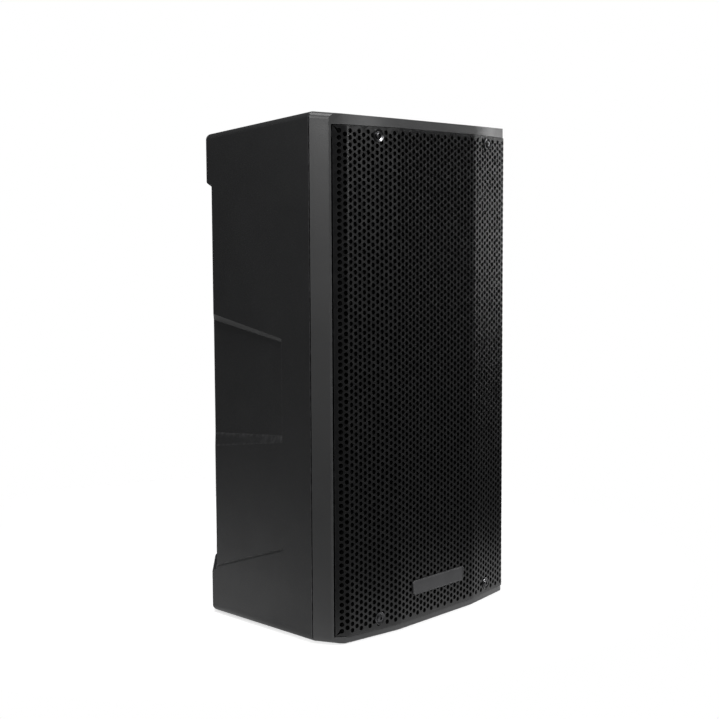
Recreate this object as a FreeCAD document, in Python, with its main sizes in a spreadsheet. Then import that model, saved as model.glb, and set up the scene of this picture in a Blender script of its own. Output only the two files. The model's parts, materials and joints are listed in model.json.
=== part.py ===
import FreeCAD, Part
import math
import os
import re
import Sketcher
from FreeCAD import Rotation, Vector

# A portable powered two-way loudspeaker: a moulded cabinet with a folded steel grille, a woofer,
# a horn, and an amplifier module in a recess at the back.
# Frame: +Z up, the grille faces -Y, +X is on the viewer's right, origin under the middle of the box.

SIZES = {
    # Driving dimensions of the cabinet
    "width": 368, "height": 640, "depth": 306, "wall": 4, "foot_lift": 2,
    "seam_back": 50, "corner_back": 236, "corner_half": 168, "rear_half": 98,
    "top_drop": 15, "bumper_back": 10, "bumper_out": 9, "bumper_low": 58, "bumper_high": 560,
    "edge_round": 8, "ledge_round": 4,
    # Front frame and grille
    "fold_half": 76, "wing_half": 158, "wing_back": 12, "lip_half": 170.5, "lip_back": 24,
    "frame_half": 175, "frame_back": 26, "frame_set": 4, "head_slope": 5, "head_rim": 16, "foot_rim": 8,
    "groove_wide": 1.2, "groove_deep": 2,
    "floor_front": 38, "mesh_thick": 1.4, "mesh_gap": 1, "foam_set": 2, "foam_thick": 5,
    "fixing_half": 110, "fixing_low": 24, "fixing_high": 613, "fixing_round": 4.5, "post_round": 6,
    "badge_long": 106, "badge_tall": 18.5, "badge_low": 41.5, "badge_thick": 2, "badge_cut": 2.5,
    "badge_stand": 2,
    # Side recess and hand grip
    "dip_front": 107, "dip_low": 249.5, "dip_high": 365, "dip_rear_low": 239.5, "dip_rear_high": 384.5,
    "dip_deep": 2.5, "dip_turn": 1.7, "dip_out": 18, "dip_past": 100, "dip_slope": 1.2, "dip_low_slope": 2.1,
    "cup_wide": 44, "cup_deep": 34, "cup_tall": 116, "cup_wall": 2.5,
    "crease_deep": 2, "crease_long": 146, "crease_angle": 18, "crease_front": 102, "crease_high": 106,
    "boss_half": 160, "boss_wide": 16, "pilot_round": 2,
    "boss_one": 96, "boss_two": 228, "boss_three": 400, "boss_four": 600,
    # Woofer
    "cone_centre": 228, "basket_round": 155, "woofer_hole": 141, "flange_thick": 4,
    "basket_deep": 80, "basket_back": 80, "coil_round": 38, "coil_wall": 0.8, "pole_piece": 36.4,
    "plate_thick": 8, "magnet_round": 85, "magnet_thick": 20, "roll_round": 10.5, "roll_mid": 133,
    "cone_front": 121, "cone_rear": 39.2, "cone_wall": 1.4, "spider_round": 72,
    # Horn and compression driver
    "horn_centre": 495, "horn_half": 115, "horn_tall": 85, "mouth_half": 104, "mouth_tall": 74,
    "horn_wall": 3, "throat_half": 13, "horn_deep": 96, "driver_round": 44,
    # Ports
    "port_half": 134, "port_centre": 56, "port_round": 22, "port_wall": 2.5, "port_long": 120,
    # Pole socket and feet
    "pole_round": 18.25, "pole_wall": 3, "pole_deep": 81, "pole_lead": 2, "pole_back": 150,
    "collar_round": 36, "collar_thick": 3,
    "foot_round": 14, "foot_half": 140, "foot_front": 75, "foot_rear": 205,
    # Amplifier recess and module
    "bay_half": 91, "bay_low": 143, "bay_high": 497, "bay_deep": 14, "bay_lip": 11,
    "panel_thick": 2.5, "seal_thick": 1, "sink_low": 374, "fin_thick": 2, "fin_step": 9,
    "jack_side": 54, "jack_high": 318, "knob_high": 266, "knob_round": 8, "button_high": 288,
    "inlet_side": -34, "inlet_high": 186, "rocker_side": 44,
    "light_high": 348, "light_start": -30, "light_step": 20, "light_round": 1.5,
    "lead_round": 2, "lead_bend": 10,
    # Parts of the amplifier module
    "slip": 0.2, "flange": 2, "sink_half": 74, "cover_deep": 82, "cover_wall": 1.2,
    "board_half": 72, "board_thick": 1.6, "board_back": 70,
    "jack_plate": 13, "jack_plate_tall": 15.5, "jack_round": 11.8, "jack_long": 27, "jack_mouth": 9.6,
    "plug_round": 3.3, "plug_wall": 1.7, "latch_slot": 3.2, "latch_top": 14.2,
    "pin_circle": 4.8, "pin_round": 1.2,
    "shaft_round": 3, "shaft_long": 17, "skirt_thick": 3, "grip_long": 6.5, "pot_half": 8, "pot_back": 25,
    "button_half": 3.3, "inlet_half": 14, "inlet_tall": 19, "inlet_deep": 26, "mouth_side": 12,
    "drawer_low": 16, "drawer_high": 6, "fuse_round": 2.4,
    "rocker_half": 10.5, "rocker_tall": 14, "rocker_deep": 22, "rocker_well": 8, "axle_round": 1.5,
}

NODES = []
doc = FreeCAD.newDocument("powered_speaker")
sheet = doc.addObject("Spreadsheet::Sheet", "Sizes")
for row, (alias, number) in enumerate(SIZES.items(), 1):
    sheet.set(f"A{row}", alias)
    sheet.set(f"B{row}", str(number))
    sheet.setAlias(f"B{row}", alias)
doc.recompute()

FORWARD = Rotation(Vector(1, 0, 0), 90)
UPRIGHT = Rotation()
FRONT = "((badge_stand - depth) / 2)"


# ---------------------------------------------------------------- helpers

def formula(text):
    """Point the alias names in a formula at the sheet."""
    return re.sub(r"[a-z_]+", lambda word: "Sizes." + word[0] if word[0] in SIZES else word[0], str(text))


def value(text):
    return float(sheet.evalExpression(formula(text)))


def bind(item, path, text):
    item.setExpression(path, formula(text))


def behind(distance):
    """Y of a plane that lies a distance behind the front of the grille."""
    return f"({FRONT} + ({distance}))"


def place(item, x, y, z, turn=UPRIGHT):
    item.Placement = FreeCAD.Placement(Vector(), turn)
    for axis, text in zip("xyz", (x, y, z)):
        bind(item, f".Placement.Base.{axis}", text)
    return item


def box(x_low, x_high, y_low, y_high, z_low, z_high):
    item = doc.addObject("Part::Box", "block")
    bind(item, "Length", f"({x_high}) - ({x_low})")
    bind(item, "Width", f"({y_high}) - ({y_low})")
    bind(item, "Height", f"({z_high}) - ({z_low})")
    return place(item, x_low, y_low, z_low)


def rod(radius, length, x, y, z, turn=UPRIGHT):
    item = doc.addObject("Part::Cylinder", "rod")
    bind(item, "Radius", radius)
    bind(item, "Height", length)
    return place(item, x, y, z, turn)


def ring(outer, inner, length, x, y, z, turn=UPRIGHT):
    bore = rod(inner, f"({length}) + 2", x, y, z, turn)
    shift = turn.multVec(Vector(0, 0, -1))
    for axis, text, step in zip("xyz", (x, y, z), shift):
        bind(bore, f".Placement.Base.{axis}", f"({text}) + ({step:.0f})")
    return cut(rod(outer, length, x, y, z, turn), bore)


def fuse(*items):
    if len(items) == 1:
        return items[0]
    joined = doc.addObject("Part::MultiFuse", "joined")
    joined.Shapes = list(items)
    return joined


def cut(base, *tools):
    item = doc.addObject("Part::Cut", "trimmed")
    item.Base = base
    item.Tool = fuse(*tools)
    return item


def common(first, second):
    item = doc.addObject("Part::MultiCommon", "shared")
    item.Shapes = [first, second]
    return item


def group(*items):
    """Separate solids that share one node."""
    item = doc.addObject("Part::Compound", "group")
    item.Links = list(items)
    return item


def mirrored(item):
    twin = doc.addObject("Part::Mirroring", "mirrored")
    twin.Source = item
    twin.Normal = Vector(1, 0, 0)
    twin.Base = Vector()
    return twin


def node(label, item):
    item.Label = label
    NODES.append(item)
    return item


def outline(body, plane, *loops):
    """A sketch of closed outlines, every corner held by two dimensions from the origin."""
    sketch = body.newObject("Sketcher::SketchObject", "outline")
    base = next(item for item in body.Origin.OriginFeatures if item.Role == plane)
    sketch.AttachmentSupport = [(base, "")]
    sketch.MapMode = "FlatFace"
    for corners in loops:
        first = sketch.GeometryCount
        points = [Vector(value(across), value(up), 0) for across, up in corners]
        for number, start in enumerate(points):
            sketch.addGeometry(Part.LineSegment(start, points[(number + 1) % len(points)]), False)
        for number, corner in enumerate(corners):
            following = first + (number + 1) % len(corners)
            sketch.addConstraint(Sketcher.Constraint("Coincident", first + number, 2, following, 1))
            for kind, text in zip(("DistanceX", "DistanceY"), corner):
                held = Sketcher.Constraint(kind, -1, 1, first + number, 1, value(text))
                index = sketch.addConstraint(held)
                bind(sketch, f"Constraints[{index}]", text)
    return sketch


def padded(plane, length, corners, both_ways=False):
    """A PartDesign body with one pad."""
    body = doc.addObject("PartDesign::Body", "body")
    pad = body.newObject("PartDesign::Pad", "pad")
    pad.Profile = outline(body, plane, corners)
    bind(pad, "Length", length)
    if both_ways:
        pad.SideType = "Symmetric"
    return body


def turned(label, corners):
    """A PartDesign body turned from corners given as (radius, height)."""
    body = doc.addObject("PartDesign::Body", label)
    sketch = outline(body, "XZ_Plane", corners)
    turn = body.newObject("PartDesign::Revolution", "turn")
    turn.Profile = sketch
    turn.ReferenceAxis = (sketch, ["V_Axis"])
    turn.Angle = 360
    return body


def both_sides(half):
    """An outline's right half followed by its mirror image."""
    return half + [(f"-({x})", y) for x, y in reversed(half)]


def plan(half):
    """Corners given as (x, distance behind the front), closed over the middle."""
    return both_sides([(x, behind(back)) for x, back in half])


def rounded(item, radius, chosen):
    """Fillet the edges of a finished solid that a test picks."""
    doc.recompute()
    edges = [number for number, edge in enumerate(item.Shape.Edges, 1) if chosen(edge)]
    blend = doc.addObject("Part::Fillet", "blend")
    blend.Base = item
    blend.Edges = [(number, value(radius), value(radius)) for number in edges]
    return blend


def runs_along(edge, axis):
    """True for a straight edge that follows one axis closely."""
    if len(edge.Vertexes) != 2:
        return False
    span = edge.Vertexes[1].Point - edge.Vertexes[0].Point
    return abs(span.dot(axis)) > 0.85 * span.Length


# ---------------------------------------------------------------- cabinet

def roof(inset):
    """Wedge that slopes the top down from the seam to the back."""
    fall = "top_drop * (depth + 20 - seam_back) / (corner_back - seam_back)"
    level = f"height - {inset}"
    past = behind("depth + 20")
    return padded("YZ_Plane", "width * 2", [
        (behind("seam_back"), level), (past, level), (past, f"{level} - {fall}"),
    ], both_ways=True)


def shell_outside():
    """The rear shell's envelope: a tapered body between a deeper block at its head and one at its foot."""
    seam = ("width / 2", "seam_back")
    lean = "(width / 2 - corner_half) / (corner_back - seam_back)"
    body = [seam, ("corner_half", "corner_back"), ("rear_half", "depth")]
    block = [seam, (f"corner_half - bumper_back * {lean}", "corner_back + bumper_back"),
             ("rear_half + bumper_out", "depth")]
    middle = place(padded("XY_Plane", "bumper_high - bumper_low", plan(body)), 0, 0, "bumper_low")
    foot = place(padded("XY_Plane", "bumper_low - foot_lift", plan(block)), 0, 0, "foot_lift")
    head = place(padded("XY_Plane", "height - bumper_high", plan(block)), 0, 0, "bumper_high")
    foot = round_facets(round_rim(foot), "bumper_low")
    head = round_facets(round_rim(cut(head, roof(0))), "bumper_high")
    return fuse(middle, foot, head)


def round_rim(block):
    """Round a block's outer top or bottom edges, all but those along the seam."""
    def is_rim(edge):
        middle = edge.CenterOfMass
        near_level = middle.z > value("height - top_drop - 10") or middle.z < value("foot_lift + 1")
        level_run = abs(edge.tangentAt(edge.FirstParameter).z) < 0.2
        return near_level and level_run and middle.y > value(behind("seam_back + 1"))
    return rounded(block, "edge_round", is_rim)


def round_facets(block, level):
    """Round the ledges of a block where it stands out from the body's rear facets."""
    def is_ledge(edge):
        middle = edge.CenterOfMass
        on_facet = value("rear_half + 12") < abs(middle.x) < value("corner_half - 4")
        return on_facet and abs(middle.z - value(level)) < 0.1
    return rounded(block, "ledge_round", is_ledge)


def shell_inside():
    """The air space of the rear shell, with the amplifier bay's floor as its back."""
    back = "depth - bay_deep - wall"
    half = [
        ("width / 2 - wall", "seam_back - wall"), ("corner_half - wall", "corner_back - wall * 0.6"),
        ("rear_half - wall * 1.42 + bay_deep + wall", back),
    ]
    body = place(padded("XY_Plane", "height - foot_lift - 2 * wall", plan(half)), 0, 0, "foot_lift + wall")
    return cut(body, roof("wall"), side_dip("wall"), mirrored(side_dip("wall")))


def wall_lean():
    """How far a side wall turns inwards towards the back, in degrees."""
    return math.degrees(math.atan(value("(width / 2 - corner_half) / (corner_back - seam_back)")))


def dip_block(extra, slope, past_low, past_high):
    """Block that widens outwards from the recess's floor; its low or high side can lie past the recess."""
    body = doc.addObject("PartDesign::Body", "dip")
    pad = body.newObject("PartDesign::Pad", "pad")
    run = "(corner_back - dip_front)"
    reach = f"({run} + 30)"
    front = f"dip_front - seam_back - {extra}"
    rear = f"dip_front - seam_back + {reach}"
    low = f"dip_low - {extra} - {past_low}"
    high = f"dip_high + {extra} + {past_high}"
    pad.Profile = outline(body, "XY_Plane", [
        (front, low),
        (rear, f"{low} - {reach} * (dip_low - dip_rear_low) / {run}"),
        (rear, f"{high} + {reach} * (dip_rear_high - dip_high) / {run}"),
        (front, high),
    ])
    bind(pad, "Length", f"dip_out + {extra}")
    pad.TaperAngle = math.degrees(math.atan(value(slope)))
    lean = 90 + wall_lean() + value("dip_turn")
    turn = Rotation(Vector(0, 0, 1), lean).multiply(Rotation(Vector(1, 0, 0), 90))
    return place(body, f"width / 2 - dip_deep - {extra}", behind("seam_back"), 0, turn)


def side_dip(extra):
    """The recess in the right side wall: deeper towards the back, with a longer slope along its low side."""
    upper = dip_block(extra, "dip_slope", "dip_past", 0)
    lower = dip_block(extra, "dip_low_slope", 0, "dip_past")
    return common(upper, lower)


def crease():
    """Shallow groove that climbs towards the front in the lower right side wall."""
    groove = doc.addObject("Part::Box", "groove")
    bind(groove, "Length", "crease_long")
    bind(groove, "Width", "crease_deep + 2")
    bind(groove, "Height", "crease_deep * 1.5")
    climb = Rotation(Vector(0, 1, 0), value("crease_angle"))
    turn = Rotation(Vector(0, 0, 1), 90 + wall_lean()).multiply(climb)
    lean = "(width / 2 - corner_half) / (corner_back - seam_back)"
    wall_x = f"width / 2 - {lean} * (crease_front - seam_back)"
    return place(groove, f"{wall_x} + 2", behind("crease_front"), "crease_high", turn)


def grip_block(shrink, reach):
    """Block of the right hand grip, square to the rear facet and reaching out past it."""
    item = doc.addObject("Part::Box", "grip")
    bind(item, "Length", f"cup_wide - 2 * {shrink}")
    bind(item, "Width", f"cup_deep - {shrink} + {reach}")
    bind(item, "Height", f"cup_tall - 2 * {shrink}")
    inward = f"(cup_deep - {shrink}) * 0.7071"
    along = f"(cup_wide / 2 - {shrink}) * 0.7071"
    x = f"(corner_half + rear_half) / 2 - {inward} - {along}"
    y = behind(f"(corner_back + depth) / 2 - {inward} + {along}")
    low = f"(dip_low + dip_high) / 2 - cup_tall / 2 + {shrink}"
    return place(item, x, y, low, Rotation(Vector(0, 0, 1), -45))


def round_long_edges(item):
    """Round the edges where the side walls meet the top and the bottom."""
    def is_long_edge(edge):
        middle = edge.CenterOfMass
        near_side = abs(middle.x) > value("corner_half") - 6
        near_level = middle.z > value("height - top_drop - 4") or middle.z < value("foot_lift + 8")
        return near_side and near_level and runs_along(edge, Vector(0, 1, 0))
    return rounded(item, "edge_round", is_long_edge)


def boss_places():
    """Screw bosses on both sides of the cabinet, clear of the woofer and the horn."""
    levels = ("boss_one", "boss_two", "boss_three", "boss_four")
    return [(side, high) for side in (-1, 1) for high in levels]


def rear_shell():
    bay = box("-bay_half", "bay_half", behind("depth - bay_deep"), behind("depth + 5"),
              "bay_low", "bay_high")
    opening = box("-(bay_half - bay_lip)", "bay_half - bay_lip", behind("depth - bay_deep - wall - 8"),
                  behind("depth"), "bay_low + bay_lip", "bay_high - bay_lip")
    tools = [bay, opening]
    for make in (lambda: side_dip(0), crease, lambda: grip_block(0, 6)):
        tools += [make(), mirrored(make())]
    tools.append(rod("pole_round + pole_lead", 20, 0, behind("pole_back"), "foot_lift - 5"))
    for x, back in foot_places():
        tools.append(rod("foot_round + 0.2", 2, x, behind(back), "foot_lift - 0.5"))
    bosses = []
    for side, high in boss_places():
        low_x, high_x = ("150", "width / 2 - 2.5") if side > 0 else ("-(width / 2 - 2.5)", "-150")
        front = behind("seam_back + 2.2")
        bosses.append(box(low_x, high_x, front, behind("seam_back + 30"),
                          f"{high} - boss_wide / 2", f"{high} + boss_wide / 2"))
        tools.append(rod("pilot_round", 24, f"{side} * boss_half", behind("seam_back + 26"), high, FORWARD))
    node("rear_shell", cut(fuse(cut(shell_outside(), shell_inside()), *bosses), *tools))


def front_baffle():
    half = [
        ("width / 2", "seam_back"), ("frame_half", "frame_back"),
        ("wing_half + 3", "wing_back + frame_set"), ("fold_half", "frame_set"),
    ]
    body = place(padded("XY_Plane", "height - foot_lift", plan(half)), 0, 0, "foot_lift")
    slope = padded("YZ_Plane", "width * 2", [
        (behind("seam_back"), "height"),
        (behind(-5), "height"),
        (behind(-5), "height - head_slope * (seam_back + 5) / (seam_back - frame_set)"),
    ], both_ways=True)
    frame = round_long_edges(cut(body, slope))
    bed = box("-lip_half - 2.2", "lip_half + 2.2", behind(-5), behind("floor_front"),
              "foot_lift + foot_rim", "height - head_rim")
    start = behind("seam_back - groove_wide")
    end = behind("seam_back + 5")
    groove = cut(box("-width", "width", start, end, "-height", "height * 2"),
                 box("groove_deep - width / 2", "width / 2 - groove_deep", start, end,
                     "foot_lift + groove_deep", "height - groove_deep"))
    holes = [
        bed,
        groove,
        rod("woofer_hole", 40, 0, behind("seam_back + 5"), "cone_centre", FORWARD),
        box("-mouth_half", "mouth_half", behind("floor_front - 5"), behind("seam_back + 5"),
            "horn_centre - mouth_tall", "horn_centre + mouth_tall"),
    ]
    for side in (-1, 1):
        holes.append(rod("port_round + port_wall + 0.2", 30, f"{side} * port_half",
                         behind("seam_back + 5"), "port_centre", FORWARD))
    for side, high in boss_places():
        holes.append(rod("pilot_round + 0.2", 30, f"{side} * boss_half", behind("seam_back + 5"),
                         high, FORWARD))
    node("front_baffle", cut(frame, *holes))


def baffle_gasket():
    edge = "width / 2 - wall - 1.4"
    outer = box(f"-({edge})", edge, behind("seam_back"), behind("seam_back + 2"),
                "foot_lift + wall + 0.6", "height - wall - 1.2")
    inner = box(f"-({edge}) + 4", f"{edge} - 4", behind("seam_back - 1"), behind("seam_back + 3"),
                "foot_lift + wall + 4.6", "height - wall - 5.2")
    node("baffle_gasket", cut(outer, inner))


def baffle_screws():
    screws = []
    for side, high in boss_places():
        x = f"{side} * boss_half"
        shank = rod(1.9, "seam_back - floor_front + 20", x, behind("seam_back + 20"), high, FORWARD)
        head = rod(3.8, 3, x, behind("floor_front"), high, FORWARD)
        screws.append(fuse(shank, head))
    node("baffle_screws", group(*screws))


def grip_cup():
    return cut(grip_block(0, 0), grip_block("cup_wall", 10))


def foot_places():
    return [(f"{side} * foot_half", back) for side in (-1, 1) for back in ("foot_front", "foot_rear")]


def rubber_feet():
    feet = [rod("foot_round", "foot_lift + 1.5", x, behind(back), 0) for x, back in foot_places()]
    node("rubber_feet", group(*feet))


def pole_socket():
    """Blind tube on a collar inside the bottom wall, with a tapered mouth that leads the pole in."""
    seat = "foot_lift + wall + 0.2"
    outer = rod("pole_round + pole_wall", "pole_deep + pole_wall", 0, behind("pole_back"), seat)
    collar = rod("collar_round", "collar_thick", 0, behind("pole_back"), seat)
    bore = rod("pole_round", "pole_deep", 0, behind("pole_back"), seat)
    mouth = doc.addObject("Part::Cone", "mouth")
    bind(mouth, "Radius1", "pole_round + pole_lead")
    bind(mouth, "Radius2", "pole_round")
    bind(mouth, "Height", "pole_lead")
    place(mouth, 0, behind("pole_back"), seat)
    holes = [rod("pilot_round + 0.2", 10, x, behind(f"pole_back + {back}"), f"{seat} - 2")
             for x, back in collar_screws()]
    node("pole_socket", cut(fuse(outer, collar), bore, mouth, *holes))


def collar_screws():
    return [(28, 0), (-28, 0), (0, 28), (0, -28)]


def pole_socket_screws():
    level = "foot_lift + wall + 0.2 + collar_thick"
    screws = []
    for x, back in collar_screws():
        shank = rod(1.8, 3, x, behind(f"pole_back + {back}"), f"{level} - 3")
        screws.append(fuse(shank, rod(4, 2.6, x, behind(f"pole_back + {back}"), level)))
    node("pole_socket_screws", group(*screws))


def port_tube(side):
    x = f"{side} * port_half"
    outer = "port_round + port_wall"
    tube = rod(outer, "port_long", x, behind("floor_front + port_long"), "port_centre", FORWARD)
    lip = rod(f"{outer} + 4", 3, x, behind("floor_front"), "port_centre", FORWARD)
    bore = rod("port_round", "port_long + 10", x, behind("floor_front + port_long + 2"),
               "port_centre", FORWARD)
    return cut(fuse(tube, lip), bore)


def damping_foam():
    pads = []
    for side in (-1, 1):
        low, high = ("150", "160") if side > 0 else ("-160", "-150")
        pads.append(box(low, high, behind(100), behind(200), 430, 590))
    pads.append(box(-120, 120, behind(80), behind(200), "height - 42", "height - 30"))
    node("damping_foam", group(*pads))


# ---------------------------------------------------------------- grille

def folded_sheet(set_back, thick, low, high, trim=0):
    """A sheet folded along the four upright bends of the front, its lips trimmed short by an amount."""
    half = [(f"lip_half - {trim}", "lip_back"), (f"wing_half - {trim} / 2", "wing_back"), ("fold_half", 0)]
    front = [(x, behind(f"{back} + {set_back}")) for x, back in both_sides(half)]
    inset = [(f"lip_half - {trim} - {thick} * 0.7", f"lip_back + {thick} * 0.7"),
             (f"wing_half - {trim} / 2 - {thick} * 0.45", f"wing_back + {thick}"), ("fold_half", thick)]
    back = [(x, behind(f"{away} + {set_back}")) for x, away in both_sides(inset)]
    return place(padded("XY_Plane", f"{high} - ({low})", front + back[::-1]), 0, 0, low)


def fixing_places():
    return [(side, high) for side in (-1, 1) for high in ("fixing_low", "fixing_high")]


def wing_depth(x):
    """How far behind the front the grille's folded wing lies."""
    return f"(({x}) - fold_half) * wing_back / (wing_half - fold_half)"


def grille():
    sheet_metal = folded_sheet(0, "mesh_thick", "foot_lift + foot_rim + mesh_gap",
                               "height - head_rim - mesh_gap")
    holes = [rod("pilot_round + 0.4", 12, f"{side} * fixing_half", behind(10), high, FORWARD)
             for side, high in fixing_places()]
    node("grille", cut(sheet_metal, *holes))


def grille_foam():
    foam = folded_sheet("foam_set", "foam_thick", "foot_lift + foot_rim + 3", "height - head_rim - 3", 4)
    holes = [rod("post_round + 0.4", 30, f"{side} * fixing_half", behind(20), high, FORWARD)
             for side, high in fixing_places()]
    node("grille_foam", cut(foam, *holes))


def grille_posts():
    posts = []
    front = f"{wing_depth('fixing_half')} + mesh_thick + 1"
    for side, high in fixing_places():
        x = f"{side} * fixing_half"
        posts.append(ring("post_round", "pilot_round + 0.1", f"floor_front - ({front})", x,
                          behind("floor_front"), high, FORWARD))
    node("grille_posts", group(*posts))


def grille_screws():
    screws = []
    depth = wing_depth("fixing_half")
    for side, high in fixing_places():
        x = f"{side} * fixing_half"
        shank = rod("pilot_round", 20, x, behind(f"{depth} + 18"), high, FORWARD)
        head = rod("fixing_round", 1.6, x, behind(f"{depth} - 0.8"), high, FORWARD)
        screws.append(fuse(shank, head))
    node("grille_screws", group(*screws))


def badge_plate():
    side = "badge_long / 2"
    corners = both_sides([
        (f"{side} - badge_cut", 0), (f"{side} - 1", "badge_cut"),
        (side, "badge_tall - badge_cut"), (f"{side} - badge_cut", "badge_tall"),
    ])
    body = padded("XZ_Plane", "badge_thick", corners)
    node("badge_plate", place(body, 0, behind("badge_thick - badge_stand"), "badge_low"))


# ---------------------------------------------------------------- woofer, turned about its own axis

def on_woofer_axis(label, item, forward=0):
    node(label, place(item, 0, behind(f"floor_front - seal_thick - ({forward})"), "cone_centre", FORWARD))


def woofer_basket():
    low = "-basket_deep"
    bowl = turned("bowl", [
        ("woofer_hole - 3", 0), ("basket_round", 0), ("basket_round", "flange_thick"),
        ("woofer_hole - 12", "flange_thick"), ("woofer_hole - 12", 1), ("basket_back - 3", f"{low} + 4"),
        ("spider_round - 4", f"{low} + 4"), ("spider_round - 4", f"{low} + 14"),
        ("spider_round - 8", f"{low} + 14"), ("spider_round - 8", f"{low} + 4"),
        ("coil_round + 6", f"{low} + 4"), ("coil_round + 6", low), ("basket_back", low),
    ])
    windows = []
    for number in range(4):
        slot = box(-200, 200, -17, 17, f"{low} + 20", -14)
        windows.append(place(slot, -200, -17, 0, UPRIGHT))
        turn = Rotation(Vector(0, 0, 1), 22.5 + 45 * number)
        shift = turn.multVec(Vector(-200, -17, 0))
        place(slot, round(shift.x, 3), round(shift.y, 3), f"{low} + 20", turn)
    on_woofer_axis("woofer_basket", cut(bowl, *windows))


def woofer_seal():
    item = ring("basket_round", "woofer_hole", "seal_thick", 0, behind("floor_front"),
                "cone_centre", FORWARD)
    node("woofer_seal", item)


def woofer_screws():
    screws = []
    for number in range(8):
        angle = math.radians(22.5 + 45 * number)
        x = f"{math.cos(angle):.4f} * (basket_round - 6)"
        z = f"cone_centre + {math.sin(angle):.4f} * (basket_round - 6)"
        screws.append(rod(4.2, 2.6, x, behind("floor_front - seal_thick - flange_thick"), z, FORWARD))
    return screws


def woofer_surround():
    roll = doc.addObject("Part::Torus", "roll")
    bind(roll, "Radius1", "roll_mid")
    bind(roll, "Radius2", "roll_round")
    core = doc.addObject("Part::Torus", "core")
    bind(core, "Radius1", "roll_mid")
    bind(core, "Radius2", "roll_round - 1")
    lower = rod("basket_round", 20, 0, 0, -20)
    half_roll = cut(roll, core, lower)
    rim_ring = ring("roll_mid + roll_round + 1", "roll_mid + roll_round - 0.5", 1, 0, 0, 0)
    on_woofer_axis("woofer_surround", fuse(half_roll, rim_ring), "flange_thick")


def woofer_cone():
    depth = "(basket_deep - 26)"
    cone = turned("paper", [
        ("cone_front", 1), ("roll_mid - roll_round - 0.4", 3), ("roll_mid - roll_round - 0.4", 4.4),
        ("cone_front - 2", "1 + cone_wall"), ("cone_rear", f"-{depth} + cone_wall"),
        ("cone_rear", f"-{depth}"),
    ])
    on_woofer_axis("woofer_cone", cone)


def woofer_dust_cap():
    ball = doc.addObject("Part::Sphere", "ball")
    bind(ball, "Radius", "coil_round * 1.7")
    core = doc.addObject("Part::Sphere", "core")
    bind(core, "Radius", "coil_round * 1.7 - 1")
    band = rod("coil_round + 4", 100, 0, 0, 0)
    cap = group(common(cut(ball, core), band))
    on_woofer_axis("woofer_dust_cap", cap, "-(basket_deep - 36) - coil_round * 1.42")


def woofer_coil():
    tube = ring("coil_round + coil_wall", "coil_round - coil_wall", 44, 0, 0, "-(basket_deep + 20)")
    on_woofer_axis("woofer_voice_coil", group(tube))


def woofer_spider():
    level = "-(basket_deep - 16)"
    folds = 4
    lower = []
    upper = []
    inner = "coil_round + 1.2"
    for number in range(2 * folds + 1):
        radius = f"{inner} + (spider_round - 3 - ({inner})) * {number} / {2 * folds}"
        lift = 2 if number % 2 else 0
        lower.append((radius, f"{level} + {lift}"))
        upper.append((radius, f"{level} + {lift} + 0.8"))
    on_woofer_axis("woofer_spider", turned("folds", lower + upper[::-1]))


def woofer_motor():
    base = "(basket_deep + plate_thick)"
    top = ring("basket_back", "coil_round + 1.8", "plate_thick", 0, 0, f"-{base}")
    on_woofer_axis("woofer_top_plate", group(top))
    magnet = ring("magnet_round", "coil_round + 8", "magnet_thick", 0, 0, f"-({base} + magnet_thick)")
    on_woofer_axis("woofer_magnet", group(magnet))
    low = f"-({base} + magnet_thick + plate_thick)"
    yoke = turned("yoke", [
        (0, low), ("basket_back", low), ("basket_back", f"{low} + plate_thick"),
        ("pole_piece", f"{low} + plate_thick"), ("pole_piece", "-basket_deep"), (0, "-basket_deep"),
    ])
    on_woofer_axis("woofer_yoke", yoke)


def woofer_terminal():
    back = "floor_front + basket_deep + 10"
    edge = "cone_centre + magnet_round"
    plate = box(-10, 10, behind(f"{back} - 6"), behind(back), edge, f"{edge} + 12")
    tabs = [box(f"{x} - 2.4", f"{x} + 2.4", behind(back), behind(f"{back} + 8"),
                f"{edge} + 4", f"{edge} + 5") for x in (-5, 5)]
    node("woofer_terminal", fuse(plate, *tabs))


# ---------------------------------------------------------------- horn and compression driver

def flare(mouth_x, mouth_z, throat, extra):
    """Four-sided taper from the mouth back to the throat."""
    item = doc.addObject("Part::Wedge", "flare")
    for axis, half in (("X", mouth_x), ("Z", mouth_z)):
        for prop, text in (("min", f"-({half})"), ("max", half), ("2min", f"-({throat})"), ("2max", throat)):
            bind(item, axis + prop, text)
    for prop, text in (("Ymin", 0), ("Ymax", f"horn_deep + {extra}")):
        bind(item, prop, text)
    return place(item, 0, behind("floor_front - horn_wall"), "horn_centre")


def horn_waveguide():
    plate = box("-horn_half", "horn_half", behind("floor_front - horn_wall"), behind("floor_front"),
                "horn_centre - horn_tall", "horn_centre + horn_tall")
    shell = flare("mouth_half - 2", "mouth_tall - 2", "throat_half + horn_wall", 0)
    throat_end = "floor_front - horn_wall + horn_deep"
    collar = rod("driver_round - 6", 6, 0, behind(throat_end), "horn_centre", FORWARD)
    air = flare("mouth_half - 7", "mouth_tall - 7", "throat_half", 0)
    bore = rod("throat_half", 12, 0, behind(f"{throat_end} + 1"), "horn_centre", FORWARD)
    node("horn_waveguide", cut(fuse(plate, shell, collar), air, bore))


def horn_screws():
    screws = []
    for side in (-1, 1):
        for rise in (-1, 1):
            x = f"{side} * (horn_half - 6)"
            z = f"horn_centre + {rise} * (horn_tall - 6)"
            screws.append(rod(3.8, 2.6, x, behind("floor_front - horn_wall"), z, FORWARD))
    return screws


def driver_part(item, back):
    """A turned part of the compression driver whose own Z points out of the horn."""
    start = "floor_front - horn_wall + horn_deep"
    return place(item, 0, behind(f"{start} + {back}"), "horn_centre", FORWARD)


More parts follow.
